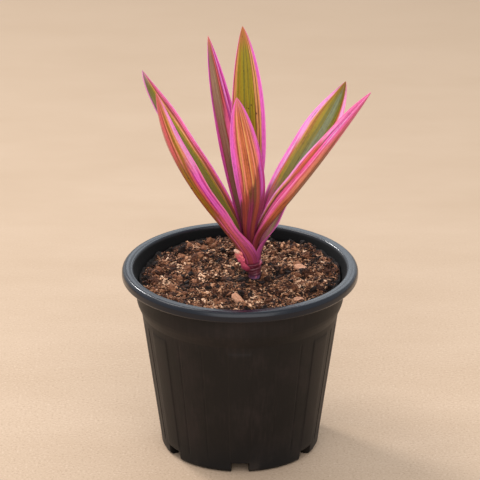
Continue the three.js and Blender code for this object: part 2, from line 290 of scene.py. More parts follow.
def make_piece(name, points, faces, material, label=None, marks=None, smooth=True):
    """Makes a mesh of points about the pot's axis, and lets it ride on the root body. Under the label it
    carries the marks, a vector or only its first part for each point."""
    mesh = bpy.data.meshes.new(name)
    fill_mesh(mesh, points, faces)
    if label:
        marks = np.asarray(marks, np.float32)
        if marks.ndim == 1:
            marks = np.pad(marks[:, None], ((0, 0), (0, 2)))
        layer = mesh.attributes.new(label, "FLOAT_VECTOR", "POINT")
        layer.data.foreach_set("vector", marks.ravel())
    mesh.polygons.foreach_set("use_smooth", np.full(len(mesh.polygons), smooth))
    mesh.materials.append(material)
    mesh.update()
    piece = add_object(name, mesh)
    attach(piece, "root")
    return piece


def ease(value, start, end):
    """Runs smoothly from 0 at start to 1 at end."""
    share = np.clip((value - start) / (end - start), 0, 1)
    return share * share * (3 - 2 * share)


def lumps(x, y, cell, seed):
    """Random heights from -1 to 1 at the corners of square cells, eased between them."""
    size = 128
    heights = np.random.default_rng(seed).uniform(-1, 1, (size, size))
    column, row = np.floor(x / cell).astype(int), np.floor(y / cell).astype(int)
    right, up = ease(x / cell - column, 0, 1), ease(y / cell - row, 0, 1)

    def along_row(number):
        line = number % size
        return heights[line, column % size] * (1 - right) + heights[line, (column + 1) % size] * right

    return along_row(row) * (1 - up) + along_row(row + 1) * up


def unit(directions):
    """The directions, each with a length of 1."""
    return directions / np.linalg.norm(directions, axis=-1, keepdims=True)


def compass(degrees):
    """A level direction, counted from the right towards the back."""
    angle = np.radians(degrees)
    return vectors(np.cos(angle), np.sin(angle), 0)


def resting_axes(yaw, tilt, roll):
    """Directions along, across and up from a piece with this turn, tilt and roll."""
    forward = vectors(np.cos(yaw) * np.cos(tilt), np.sin(yaw) * np.cos(tilt), np.sin(tilt))
    level = vectors(-np.sin(yaw), np.cos(yaw), 0)
    across = level * np.cos(roll)[..., None] + np.cross(forward, level) * np.sin(roll)[..., None]
    return np.stack([forward, across, np.cross(forward, across)], axis=-2)


def smooth_corners(points):
    """Cuts each inner corner of a line twice, at a quarter of the way to its neighbours."""
    line = np.asarray(points, float)
    for _ in range(2):
        near = 0.75 * line[:-1] + 0.25 * line[1:]
        far = 0.25 * line[:-1] + 0.75 * line[1:]
        middle = np.stack([near, far], axis=1).reshape(-1, line.shape[1])
        line = np.concatenate([line[:1], middle[1:-1], line[-1:]])
    return line


def round_corners(points, size):
    """Replaces each inner corner of a line by five points of an arc that starts size before it, or at a
    third of the way to its neighbour."""
    line = np.asarray(points, float)
    inner, before, after = line[1:-1], line[:-2] - line[1:-1], line[2:] - line[1:-1]
    steps = []
    for arm in (before, after):
        length = np.linalg.norm(arm, axis=1, keepdims=True)
        steps.append(inner + arm / length * np.minimum(size, length / 3))
    t = np.linspace(0, 1, 5)[None, :, None]
    start, end = steps[0][:, None], steps[1][:, None]
    arcs = (1 - t) ** 2 * start + 2 * t * (1 - t) * inner[:, None] + t ** 2 * end
    return np.concatenate([line[:1], arcs.reshape(-1, line.shape[1]), line[-1:]])


def fill_gaps(line, spacing):
    """Adds even steps where two neighbouring points are further apart than spacing."""
    run = np.concatenate([[0], np.cumsum(np.linalg.norm(np.diff(line, axis=0), axis=1))])
    counts = np.ceil(np.diff(run) / spacing).astype(int)
    steps = [np.linspace(a, b, n, endpoint=False) for a, b, n in zip(run[:-1], run[1:], counts)]
    even = np.concatenate([*steps, run[-1:]])
    return vectors(*[np.interp(even, run, line[:, axis]) for axis in range(line.shape[1])])


# Leaves.

STEM_FOOT = np.array([9.5, 0, 114])
STEM_LEAN = -0.14
BLADE = {"thickness": 0.7, "taper": 2.4, "fineness": 0.85, "rows": 150, "columns": 36}

PIGMENTS = {
    "orchid": "fa70d6", "blush": "faa8e0", "violet": "d062c0", "magenta": "cc389a", "rose": "f86fa8",
    "coral": "e66a70", "salmon": "f08e74", "apricot": "e3a262", "ochre": "a87620", "olive": "9c8a14",
    "moss": "7a7826", "sage": "958460", "fern": "7f8c60", "umber": "7a4c32", "brick": "a84e3c",
    "rust": "cc7044", "wine": "66162a", "plum": "92365a", "dun": "a89070", "russet": "7e3e3a",
    "clay": "94724f",
}

# Each leaf's shape, as in the part's source, and the stripes of its inner and its outer face. The sheath has
# its height, its radius, the way it faces, how far it clasps and the share of the length by which it opens.
# Stripes are pigments from one margin to the other, with the places, from -1 to 1, where one gives way to
# the next. The first stripes run from the foot. Those of a later level take over between two shares of the
# length, with a slant across the blade. The foot and the end have a flush of one pigment, each between two
# shares of the length, and spots says how dark the specks are.
LEAVES = {
    "left_front": {
        "sheath": (124.5, 6.4, 217, 98, 0.25), "climb": 23, "bearing": 218, "reach": 75,
        "tip": 256, "run": 72, "heading": 218, "slope": 82, "half": 11.7, "widest": 0.48,
        "cup": 18, "fold": 0.33, "turn": 5,
        "inner": ["orchid -0.62 salmon -0.52 moss 0.52 salmon 0.62 orchid"],
        "outer": [
            ("rose -0.94 orchid -0.88 rose -0.6 coral -0.38 brick -0.3 rose -0.2 brick 0.28 plum 0.36 brick "
             "0.5 russet"),
            (0.26, 0.4, 0,
             "rose -0.92 magenta -0.85 orchid -0.62 magenta -0.53 coral -0.45 brick -0.35 ochre -0.27 umber "
             "-0.22 ochre -0.06 brick 0.05 umber 0.1 brick 0.5 umber 0.56 brick"),
            (0.56, 0.74, 0,
             "orchid -0.92 blush -0.74 salmon -0.65 apricot -0.55 ochre -0.35 salmon -0.25 brick -0.15 "
             "coral 0.16 brick 0.2 coral 0.44 brick 0.5 coral 0.58 brick"),
        ],
        "foot": ("wine", 0.0, 0.15), "end": ("coral", 0.86, 1.0), "spots": 1.0,
    },
    "right_back": {
        "sheath": (127, 5.4, 34, 104, 0.2), "climb": 16, "bearing": 40, "reach": 78,
        "tip": 228, "run": 34, "heading": 40, "slope": 85, "half": 13.6, "widest": 0.57,
        "cup": 18, "fold": 0.6, "turn": 16,
        "inner": [
            ("plum -0.8 magenta -0.6 brick -0.3 russet 0 umber 0.2 moss 0.34 umber 0.5 plum 0.7 magenta 0.9 "
             "orchid"),
            (0.26, 0.38, 0,
             "orchid -0.94 blush -0.86 rust -0.79 olive -0.66 moss -0.42 fern 0.08 moss 0.2 fern 0.34 umber "
             "0.46 brick 0.54 wine 0.6 blush 0.66 violet 0.84 magenta 0.94 orchid"),
            (0.5, 0.72, 0,
             "orchid -0.94 blush -0.79 apricot -0.73 ochre -0.63 olive -0.5 moss -0.34 fern -0.1 moss 0.14 "
             "olive 0.24 umber 0.34 rust 0.42 salmon 0.5 blush 0.9 rose"),
        ],
        "outer": ["orchid -0.8 violet -0.6 plum -0.3 brick 0.3 plum 0.6 violet 0.8 orchid"],
        "foot": ("plum", 0.05, 0.22), "end": ("ochre", 0.9, 1.0), "spots": 0.0,
    },
    "right_front": {
        "sheath": (128.5, 4.4, -1, 82, 0.4), "climb": 21, "bearing": 0, "reach": 74,
        "tip": 239, "run": 114, "heading": 0, "slope": 58, "half": 13.1, "widest": 0.32,
        "cup": 65, "fold": 0.14, "turn": 2,
        "inner": [
            ("blush -0.93 apricot -0.86 umber -0.78 rose -0.62 coral -0.5 brick -0.3 wine 0.3 brick 0.6 "
             "rose 0.8 orchid"),
            (0.32, 0.46, 0,
             "blush -0.93 coral -0.86 rust -0.78 brick -0.72 rose -0.54 coral -0.44 rust 0.3 coral 0.6 "
             "rose"),
            (0.58, 0.74, 0,
             "rose -0.93 blush -0.77 umber -0.73 orchid -0.65 blush -0.55 rose -0.35 coral 0.5 rose"),
        ],
        "outer": [
            ("rose -0.8 rust -0.4 brick -0.05 umber 0.1 brick 0.3 umber 0.36 rust 0.56 rust 0.64 brick 0.7 "
             "rust 0.8 coral 0.88 rose"),
            (0.32, 0.46, 0,
             "rose -0.44 salmon -0.34 rust -0.12 brick 0.16 rust 0.26 umber 0.42 rust 0.5 umber 0.58 rust "
             "0.66 salmon 0.84 coral 0.93 rose"),
            (0.58, 0.74, 0,
             "rose -0.36 coral -0.22 brick -0.06 coral 0.1 rose 0.26 coral 0.44 brick 0.56 coral 0.7 rose "
             "0.86 orchid 0.94 blush"),
        ],
        "foot": ("wine", 0.08, 0.3), "end": ("rose", 0.68, 0.92), "spots": 0.2,
    },
    "left_back": {
        "sheath": (128.5, 4.4, 155, 72, 0.5), "climb": 29, "bearing": 157, "reach": 75,
        "tip": 243, "run": 31, "heading": 157, "slope": 84, "half": 9.8, "widest": 0.63,
        "cup": 28, "fold": 0.3, "turn": -3,
        "inner": [
            ("magenta -0.7 violet -0.5 umber -0.4 sage -0.1 moss 0.46 olive 0.56 apricot 0.61 umber 0.7 "
             "brick 0.8 coral 0.88 orchid"),
            (0.32, 0.56, 0,
             "orchid -0.7 violet -0.52 umber -0.46 sage -0.2 moss -0.06 sage 0.04 moss 0.46 olive 0.58 "
             "apricot 0.66 brick 0.78 rose 0.83 brick 0.87 rose 0.95 blush"),
        ],
        "outer": ["orchid -0.7 magenta -0.5 brick -0.1 umber 0.1 brick 0.5 magenta 0.8 orchid"],
        "foot": ("magenta", 0.0, 0.2), "end": ("blush", 0.9, 1.05), "spots": 0.0,
    },
    "front": {
        "sheath": (130, 3.4, 273, 90, 0.4), "climb": 39, "bearing": 245, "reach": 22,
        "tip": 243, "run": 88, "heading": 150, "slope": 74, "half": 11.7, "widest": 0.56,
        "cup": 58, "fold": 0.29, "turn": 17,
        "inner": ["orchid -0.7 rose -0.55 apricot -0.45 moss 0.45 apricot 0.55 rose 0.75 orchid"],
        "outer": [
            "magenta -0.93 plum -0.4 brick -0.1 russet 0 plum 0.3 russet 0.36 brick 0.74 russet 0.88 plum",
            (0.33, 0.45, 0,
             "blush -0.94 magenta -0.66 violet -0.5 magenta -0.42 plum -0.34 brick -0.14 umber 0.02 russet "
             "0.1 umber 0.28 brick 0.42 rust 0.5 salmon 0.56 rust 0.72 coral 0.8 orchid"),
            # Under this level's crisp slanted edge the darker stripes are the blade's own purple together
            # with
            # a painted shadow of the leaves beside it.
            (0.5, 0.55, 0.22,
             "rose -0.84 orchid -0.62 rose -0.47 salmon -0.34 rust -0.2 salmon -0.12 rust 0.02 apricot 0.08 "
             "brick 0.14 rust 0.34 salmon 0.42 apricot 0.5 brick 0.56 coral 0.62 rose 0.74 orchid"),
        ],
        "foot": ("wine", 0.04, 0.26), "end": ("rose", 0.88, 1.05), "spots": 0.1,
    },
    "back_left": {
        "sheath": (130, 3.4, 119, 60, 0.45), "climb": 24, "bearing": 136, "reach": 38,
        "tip": 267, "run": 42, "heading": 136, "slope": 81, "half": 9.2, "widest": 0.38,
        "cup": 52, "fold": 0.3, "turn": -6,
        "inner": [
            ("orchid -0.58 coral -0.52 umber -0.46 dun -0.1 clay -0.04 dun 0.08 clay 0.14 brick 0.2 rose "
             "0.46 magenta 0.7 orchid"),
            # Near the right margin the pale blush line is a painted highlight, and the magenta band beyond
            # it
            # is the margin's pink with painted shade.
            (0.56, 0.74, 0,
             "orchid -0.9 violet -0.68 brick -0.6 dun 0.08 clay 0.26 brick 0.36 coral 0.44 brick 0.54 "
             "violet 0.62 blush 0.7 magenta 0.88 orchid"),
        ],
        "outer": ["orchid -0.7 magenta -0.4 brick 0.4 magenta 0.7 orchid"],
        "foot": ("plum", 0.1, 0.32), "end": ("salmon", 0.9, 1.0), "spots": 0.1,
    },
    "back": {
        "sheath": (131.5, 2.4, 88, 70, 0.35), "climb": 15, "bearing": 109, "reach": 17,
        "tip": 277, "run": 39, "heading": 109, "slope": 69, "half": 11.5, "widest": 0.5,
        "cup": 33, "fold": 0.22, "turn": 8,
        "inner": [
            ("orchid -0.88 coral -0.74 rust -0.5 ochre -0.1 olive 0.1 moss 0.2 olive 0.42 umber 0.6 rust "
             "0.68 umber 0.74 violet 0.84 orchid"),
            (0.32, 0.56, 0,
             "rose -0.94 brick -0.86 apricot -0.8 rust -0.76 apricot -0.7 olive -0.5 ochre -0.44 olive -0.2 "
             "moss -0.1 olive 0.12 moss 0.18 olive 0.44 umber 0.49 apricot 0.6 umber 0.66 apricot 0.76 "
             "orchid"),
        ],
        "outer": ["orchid -0.7 rose -0.4 brick 0.4 rose 0.7 orchid"],
        "foot": ("wine", 0.1, 0.32), "end": ("rust", 0.88, 0.98), "spots": 1.0,
    },
}


def midrib(leaf, along):
    """Points and directions on the midrib, a cubic curve from the sheath's back up along the stem and out
    to the tip, at even shares of its length."""
    height, radius, facing, _, _ = leaf["sheath"]
    centre = STEM_FOOT + np.array([STEM_LEAN, 0, 1]) * (height - STEM_FOOT[2])
    foot = centre + radius * compass(facing)
    tip = centre + leaf["reach"] * compass(leaf["bearing"])
    tip[2] = leaf["tip"]
    slope = math.radians(leaf["slope"])
    lean = math.cos(slope) * compass(leaf["heading"]) + np.array([0, 0, math.sin(slope)])
    corners = np.stack([foot, foot + leaf["climb"] * unit(np.array([STEM_LEAN, 0, 1])),
                        tip - leaf["run"] * lean, tip])

    def curve(t):
        t = t[:, None]
        weights = np.concatenate([(1 - t) ** 3, 3 * t * (1 - t) ** 2, 3 * t * t * (1 - t), t ** 3], axis=1)
        return weights @ corners

    steps = np.linspace(0, 1, 201)
    run = np.concatenate([[0], np.cumsum(np.linalg.norm(np.diff(curve(steps), axis=0), axis=1))])
    t = np.interp(along, run / run[-1], steps)
    shift = 1e-4
    ahead, behind = curve(np.minimum(t + shift, 1)), curve(np.maximum(t - shift, 0))
    return curve(t), unit(ahead - behind)


def blade_surface(leaf, along, across):
    """The blade's middle surface: at each share of the length an arc of the local width, whose bend eases
    from the clasping sheath to the blade's shallow cup, plus a straight fold and a slight wave along the
    margins."""
    _, radius, facing, clasp, opens_by = leaf["sheath"]
    centre, forward = midrib(leaf, along)
    inward = -compass(facing + leaf["turn"] * ease(along, 0.05, 0.75))
    inward = unit(inward - np.sum(inward * forward, axis=1, keepdims=True) * forward)
    sideways = np.cross(forward, inward)
    sheath_width = radius * math.radians(clasp)
    grown = sheath_width + (leaf["half"] - sheath_width) * ease(along, 0, leaf["widest"])
    past = np.clip((along - leaf["widest"]) / (1 - leaf["widest"]), 0, 1)
    width = grown * (1 - past ** BLADE["taper"]) ** BLADE["fineness"]
    bend = np.radians(clasp + (leaf["cup"] - clasp) * ease(along, 0, opens_by))[:, None]
    arc = width[:, None] / bend
    fold = (leaf["fold"] * ease(along, 0.08, 0.35) * width)[:, None]
    side = across[None, :]
    wave = 0.35 * np.sin(along[:, None] * 17 + leaf["bearing"] + side) * np.abs(side) ** 3
    wave = wave * ease(along, 0.3, 0.5)[:, None] * (width / leaf["half"])[:, None]
    rise = arc * (1 - np.cos(bend * side)) + fold * np.abs(side) + wave
    return (centre[:, None] + (arc * np.sin(bend * side))[..., None] * sideways[:, None]
            + rise[..., None] * inward[:, None]), width


def blade_solid(leaf):
    """Outer and inner skins on both sides of the middle surface, which meet in thin rounded margins, with
    a low keel outside and a groove inside along the midrib. The attribute holds the share of the length,
    the place across and the face: 1 inside and -1 outside."""
    rows, columns = BLADE["rows"], BLADE["columns"]
    along = np.linspace(0, 1, rows) ** 0.97 * 0.9975
    across = np.sin(np.linspace(-1, 1, columns + 1) * math.pi / 2)
    middle, width = blade_surface(leaf, along, across)
    outward = unit(np.cross(np.gradient(middle, axis=0), np.gradient(middle, axis=1)))
    edge = np.sqrt(1 - np.abs(across) ** 7) * (1 - 0.4 * across ** 2)
    slim = np.minimum(1, 0.25 + width / 5)[:, None]
    keel = 0.16 * np.exp(-(across / 0.09) ** 2)[None, :] * slim * ease(along, 0.04, 0.2)[:, None]
    depth = BLADE["thickness"] / 2 * edge[None, :] * slim
    outer = middle + (depth + keel)[..., None] * outward
    inner = middle - (depth - 0.6 * keel)[..., None] * outward
    ring = np.concatenate([outer, inner[:, -2:0:-1]], axis=1)
    size = ring.shape[1]
    tip = midrib(leaf, np.array([1.0]))[0]
    points = np.concatenate([ring.reshape(-1, 3), tip])
    place = np.concatenate([across, across[-2:0:-1]])
    face = np.concatenate([-np.ones(columns + 1), np.ones(columns - 1)])
    face[[0, columns]] = 0
    marks = vectors(along[:, None], place[None, :], face[None, :])
    marks = np.concatenate([marks.reshape(-1, 3), [[1, 0, 0]]])
    lower = np.arange(1, columns)
    foot = vectors(lower[:-1], lower[:-1] + 1, size - lower[:-1] - 1, size - lower[:-1])
    ends = np.array([[0, 1, size - 1], [columns - 1, columns, size - columns + 1]])
    quads = grid_quads(rows, size)[:, ::-1]
    last = fan(np.arange(size) + (rows - 1) * size, len(points) - 1)[:, ::-1]
    return points, [quads, foot, ends, last], marks


def band_stops(stripes):
    """Ramp stops for stripes, with a narrow blend between each two."""
    blend = 0.008
    words = stripes.split()
    stops = []
    for before, start, after in zip(words[::2], words[1::2], words[2::2]):
        middle = (float(start) + 1) / 2
        stops += [(middle - blend, PIGMENTS[before]), (middle + blend, PIGMENTS[after])]
    return stops


def leaf_finish(name, leaf, seed):
    """Stripes that run along the blade: their places waver, thin dark and light veins and fine streaks
    follow them, and they give way to a flush at the foot and at the tip. Fine ribs carry the gloss."""
    finish = Finish(name, Coat_Roughness=0.35, Specular_IOR_Level=0.26)
    along, across, face = finish.attribute("blade")
    wander = finish.streaks(along * 4, across * 1.6, seed) - 0.5
    fray = finish.streaks(along * 5, across * 12, seed + 5, 3) - 0.5
    place = (across + wander * 0.12 + fray * 0.1) * 0.5 + 0.5
    rise = along + wander * 0.2 + fray * 0.12

    def striped(first, *levels):
        colour = finish.ramp(place, band_stops(first))
        for low, high, slant, stripes in levels:
            height = finish.ease(rise + across * slant, low, high)
            colour = finish.mix(colour, finish.ramp(place, band_stops(stripes)), height)
        return colour

    foot, foot_low, foot_high = leaf["foot"]
    end, end_low, end_high = leaf["end"]
    vein = finish.streaks(along * 2, across * 13, seed + 12, 3, 0.65)
    colour = finish.layers(
        striped(*leaf["outer"]),
        (striped(*leaf["inner"]), finish.ease(face, -0.1, 0.1)),
        (PIGMENTS[foot], finish.ease(along + fray * 0.14 + wander * 0.2, foot_high, foot_low) * 0.85),
        (PIGMENTS[end], finish.ease(along + fray * 0.1, end_low, end_high) * 0.7),
        ("4a1f14", finish.ease(vein, 0.55, 0.68) * 0.42),
    )
    colour = finish.mix(colour, "6a4a40", finish.ease(vein, 0.43, 0.3) * 0.4, "ADD")
    streak = finish.streaks(along * 7, across * 30, seed + 9, 4, 0.6)
    mottle = finish.streaks(along * 60, across * 12, seed + 20, 3, 0.6)
    light = finish.ramp(streak * 0.7 + mottle * 0.3, [(0.32, "a89c9c"), (0.5, "eeebeb"), (0.66, "ffffff")])
    colour = finish.mix(colour, light, 0.95, "MULTIPLY")
    dots = finish.ease(finish.cells(finish.join(along * 34, across * 3.4, seed)), 0.2, 0.1)
    patchy = finish.ease(finish.streaks(along * 9, across * 3, seed + 2), 0.44, 0.56)
    inside = finish.ease(abs(across), 0.72, 0.5)
    rim = finish.ease(abs(across), 0.93, 1) * finish.ease(along, 0.1, 0.4)
    spots = dots * patchy * inside * (0.85 * leaf["spots"])
    colour = finish.layers(colour, ("3a2410", spots), ("fbaad8", rim * 0.45))
    ribs = across.calculate("SINE", across * 150) * 0.3 + streak
    finish.shade(
        Base_Color=colour,
        Roughness=streak * 0.22 + 0.3,
        Coat_Weight=streak * 0.14 + 0.03,
        Normal=finish.bump(ribs, 0.00012, 0.6),
    )
    return finish.material


def make_leaves():
    """One blade in the place of each leaf's solid."""
    for seed, (name, leaf) in enumerate(LEAVES.items()):
        points, faces, marks = blade_solid(leaf)
        material = leaf_finish("leaf_" + name, leaf, seed * 3.7)
        piece = make_piece("blade_" + name, points, faces, material, "blade", marks)
        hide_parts("leaf_" + name)


# Stem.

STEM_PROFILE = [
    (0, -22), (2.2, -21), (3.2, -18), (3.6, -4), (3.9, 0), (3.8, 2.4), (4.3, 3.1), (4.1, 4),
    (4.3, 5.8), (4.9, 6.6), (4.7, 7.4), (5.2, 8.6), (6.2, 9.6), (6.2, 10.5), (5.6, 10.9), (5.6, 12),
    (4.6, 12.4), (4.6, 13.6), (3.6, 14), (3.6, 15.6), (2.6, 16), (2.6, 17.2), (1.6, 17.6), (1.5, 18.6),
    (0, 19.4),
]


def turned_skin(profile, angles, radius_at=None):
    """Carries a line of (radius, height) pairs, whose ends lie on the axis, round it."""
    inner = profile[1:-1]
    radius = np.repeat(inner[:, :1], len(angles), axis=1)
    height = np.repeat(inner[:, 1:], len(angles), axis=1)
    if radius_at is not None:
        radius, height = radius_at(radius, height, angles[None, :])
    grid = vectors(radius * np.cos(angles), radius * np.sin(angles), height)
    rows, columns = radius.shape
    points = np.concatenate([grid.reshape(-1, 3), [[0, 0, profile[0, 1]], [0, 0, profile[-1, 1]]]])
    first = fan(np.arange(columns)[::-1], rows * columns)
    last = fan(np.arange(columns) + (rows - 1) * columns, rows * columns + 1)
    return points, [grid_quads(rows, columns), first, last]


def ball_line(count, fullness=1.0):
    """Half a circle of count points from pole to pole, as (radius, height) pairs. Less than 1 makes it
    boxier."""
    share = np.linspace(0, 1, count)
    line = vectors(np.sin(share * math.pi) ** fullness, -np.cos(share * math.pi))
    line[[0, -1], 0] = 0
    return line


def stem_finish():
    """Violet at the soil, maroon above, pink where the light comes through, darker in the leaf scars."""
    finish = Finish("stem_skin", Coat_Roughness=0.4, Coat_Weight=0.12)
    x, y, z = finish.parts(finish.place())
    grain = finish.streaks(x * 900, y * 900, z * 160, 3)
    patch = finish.noise(finish.place(), 260, 2)
    level = z * 1000 + patch * 3
    stops = [(0, "5c4668"), (0.12, "56304a"), (0.26, "4c1c26"), (0.6, "5c1e2c"), (1, "701f34")]
    scar = finish.ease(finish.cells(finish.join(0, 0, level * 0.34)), 0.16, 0.03)
    colour = finish.layers(
        finish.ramp((level - 115) * (1 / 14), stops),
        ("c8607a", finish.ease(patch + grain * 0.5, 0.78, 1) * 0.7),
        ("5a1c33", scar * 0.5),
    )
    finish.shade(Base_Color=colour, Roughness=grain * 0.3 + 0.32, Normal=finish.bump(grain, 0.0002, 0.5))
    return finish.material


def stub_finish():
    """Salmon pink flesh that dries to a pale, ragged end."""
    finish = Finish("stub_skin", Coat_Weight=0.05)
    along, _, _ = finish.attribute("stub")
    grain = finish.noise(finish.place(), 700, 3)
    stops = [(0, "8a2840"), (0.35, "b84560"), (0.6, "dc5c72"), (0.88, "e07870"), (1, "f2c4ac")]
    colour = finish.ramp(along + (grain - 0.5) * 0.6, stops)
    finish.shade(Base_Color=colour, Roughness=grain * 0.2 + 0.45, Normal=finish.bump(grain, 0.0003, 0.6))
    return finish.material


def make_stem():
    """The column turned about the leaning stem, with low leaf-scar rings, and the torn stub and the bud
    that lie against its collar."""
    line = fill_gaps(smooth_corners(STEM_PROFILE), 0.45)
    angles = around(72)

    def uneven(radius, height, angle):
        swell = 0.035 * np.sin(3 * angle + height * 0.3) + 0.02 * np.sin(7 * angle - height * 0.8)
        scars = 0.02 * np.sin(height * 3.1 + np.sin(2 * angle)) * ease(height, 0, 3)
        return radius * (1 + (swell + scars) * ease(radius, 0.5, 3)), height

    points, faces = turned_skin(line, angles, uneven)
    points = points @ resting_axes(0.0, -math.atan(STEM_LEAN), 0.0) + STEM_FOOT
    column = make_piece("stem_column", points, faces, stem_finish())
    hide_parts("stem")
    flesh = stub_finish()
    make_stub(flesh)
    make_bud(flesh)


def make_stub(flesh):
    """A flat tongue of oval rings along a cubic line through four places, narrowing to a jagged end."""
    places = np.array([[6.2, -1.8, 120.2], [2.8, -5.2, 123.6], [0.5, -6.4, 129], [-3, -7.4, 135.4]])
    run = np.array([0, 0.3, 0.6, 1])
    rings, sides = 44, 32
    share = np.linspace(0, 1, rings)
    spine = np.vander(share, 4) @ np.linalg.solve(np.vander(run, 4), places)
    forward = unit(np.gradient(spine, axis=0))
    sideways = unit(np.cross(forward, compass(245)))
    depth = np.cross(sideways, forward)
    angle = around(sides)
    waist = 0.7 * np.exp(-((share - 0.42) / 0.1) ** 2)
    wide = (2.6 - 0.5 * share - waist) * (1 - 0.5 * ease(share, 0.8, 1))
    torn = 0.5 * ease(share, 0.1, 0.6)[:, None]
    ragged = 1 + torn * lumps(share[:, None] * 17, angle[None, :] * 3, 1.0, 4)
    across = wide[:, None] * ragged * np.cos(angle)
    thick = (1.2 - 0.55 * share)[:, None] * ragged * np.sin(angle)
    grid = spine[:, None] + across[..., None] * sideways[:, None] + thick[..., None] * depth[:, None]
    ends = np.stack([spine[0], spine[-1] + 1.2 * forward[-1]])
    points = np.concatenate([grid.reshape(-1, 3), ends])
    count = rings * sides
    first, last = fan(np.arange(sides)[::-1], count), fan(np.arange(count - sides, count), count + 1)
    marks = np.concatenate([np.repeat(share, sides), [0, 1]])
    make_piece("stem_stub", points, [grid_quads(rings, sides), first, last], flesh, "stub",
               marks)


def make_bud(flesh):
    """An egg with shallow overlapping scales: the radius swells and drops three times towards the top."""
    share = np.linspace(0, 1, 34)
    scales = 1 + 0.09 * (share * 3 % 1) * np.sin(share * math.pi)
    profile = ball_line(34) * np.array([1.9, 2.85])
    profile[:, 0] *= scales
    points, faces = turned_skin(profile, around(36))
    make_piece("stem_bud", points + np.array([4.6, -2.6, 122.2]), faces, flesh, "stub",
               0.15 + 0.1 * points[:, 2])


# Potting mix.

SOIL_LEVEL = 113.2
SOIL_EDGE = 63.9
SOIL_FLOOR = 9.8
STEM_CLEARANCE = 5.2


def soil_form(x, y):
    """The mix's surface as in the part's source: nine waves that shorten as they turn, a mound by the stem
    and a bank up against the wall, highest at the back right."""
    height = np.full_like(x, SOIL_LEVEL)
    for k in range(9):
        share = k / 8
        wavelength = 46 * (8 / 46) ** share
        along = x * math.cos(k * 2.4) + y * math.sin(k * 2.4)
        height = height + 0.55 * np.sin(2 * math.pi * along / wavelength + 1.7 * k) * (1 - 0.5 * share)
    away = np.hypot(x - STEM_FOOT[0], y - STEM_FOOT[1])
    side = (1 + np.cos(np.arctan2(y, x) - math.radians(60))) / 2
    bank = 3.4 * (0.4 + 0.6 * side) * ease(np.hypot(x, y), 30, 62)
    return height + 1.2 * np.exp(-(away / 14) ** 2) + bank


def soil_surface(x, y):
    """The same surface with clumps, hollows and crumbs on it, uneven by the wall."""
    clumps = 1.1 * lumps(x, y, 6.5, 11) + 0.7 * lumps(x, y, 3.1, 12) + 0.4 * lumps(x, y, 1.5, 13)
    hollows = -2.0 * ease(lumps(x + 40, y, 8.0, 14), 0.35, 0.8)
    sunk = -1.2 * ease(np.hypot(x, y), 55, 63) * (0.5 + 0.8 * lumps(x, y, 5.0, 15))
    return soil_form(x, y) + clumps + hollows + sunk


def mix_finish(name, dark, pale):
    """Coir and bark: hollows darkened as painted shade, brown crumbs and pale edges, each crumb in its own
    shade.
    """
    finish = Finish(name, Specular_IOR_Level=0.25)
    shade, _, _ = finish.attribute("crumb")
    grain = finish.noise(finish.place(), 900, 4, 0.65)
    patch = finish.noise(finish.place(), 90, 3)
    tone = shade + (grain - 0.5) * 0.8 + (patch - 0.5) * 0.6
    stops = [(0.1, dark), (0.34, "48291a"), (0.56, "7f5238"), (0.78, "b48360"), (1, pale)]
    finish.shade(
        Base_Color=finish.ramp(tone, stops),
        Roughness=0.95 - grain * 0.2,
        Normal=finish.bump(grain, 0.0006, 0.9),
    )
    return finish.material


def make_soil_bed(finish):
    """A round body: its top is the lumpy surface on a polar grid, darkened in its hollows as painted shade,
    and its side and underside follow the pot's inside with a small gap."""
    side = np.array([(0, SOIL_FLOOR), (46.6, SOIL_FLOOR), (48.3, 10.4), (50, 13), (60.9, 93.2),
                     (SOIL_EDGE, 101.1), (SOIL_EDGE, 111.5)])
    rings = np.linspace(SOIL_EDGE, 0, 104)
    unset = 200.0
    top = vectors(rings, unset)

    def settle(radius, height, angle):
        lifted = soil_surface(radius * np.cos(angle), radius * np.sin(angle))
        return radius, np.where(height == unset, lifted, height)

    points, faces = turned_skin(np.concatenate([fill_gaps(side, 6), top]), around(500), settle)
    points[-1, 2] = soil_surface(np.zeros(1), np.zeros(1))[0]
    # Painted shade: the lower the surface lies below its form, the darker the bed.
    depth = points[:, 2] - soil_form(points[:, 0], points[:, 1])
    shade = np.clip(0.2 + 0.14 * depth + shade_at(points[:, 0], points[:, 1]), 0, 0.6)
    bed = make_piece("potting_mix", points, faces, finish, "crumb", shade)
    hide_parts("soil")


def blob(rows, columns):
    """A unit ball of rings with a pole at each end."""
    return turned_skin(ball_line(rows + 2), around(columns))


def places_in_disc(draw, count, margin):
    """Even places all over the surface, at least margin from the wall."""
    distance = (SOIL_EDGE - margin) * np.sqrt(draw.uniform(0, 1, count))
    angle = draw.uniform(0, 2 * math.pi, count)
    return distance * np.cos(angle), distance * np.sin(angle)


def strewn_places(draw, count, margin):
    """Places outside the stem. Twice as many are drawn, so that enough are left."""
    x, y = places_in_disc(draw, count * 2, margin)
    clear = np.hypot(x - STEM_FOOT[0], y - STEM_FOOT[1]) > STEM_CLEARANCE
    return x[clear][:count], y[clear][:count]


def within_wall(points, margin):
    """Moves what is nearer than margin to the wall towards the middle."""
    away = np.hypot(points[..., 0], points[..., 1])
    points[..., :2] *= np.minimum(1, (SOIL_EDGE - margin) / away)[..., None]
    return points


# Dark patches, partly dark clods and partly painted shade in hollows, and pale clumps: each one's place, its
# reach and how much it lifts the shade.
PATCHES = [
    (-12.6, 29, 6, -0.4), (-31, -14, 6, -0.36), (1, -7, 8, -0.24), (24, 14, 7, -0.26), (45, 23, 6, -0.3),
    (-48, 8, 6, -0.14), (22, -22, 6, -0.16), (-38, 22, 6, 0.24), (12, -38, 8, 0.14), (-22, -34, 9, 0.14),
    (38, -12, 9, 0.14), (-30, 46, 5, 0.2), (30, 40, 6, 0.14), (-50, -18, 7, 0.16), (-14, 4, 7, 0.08),
]


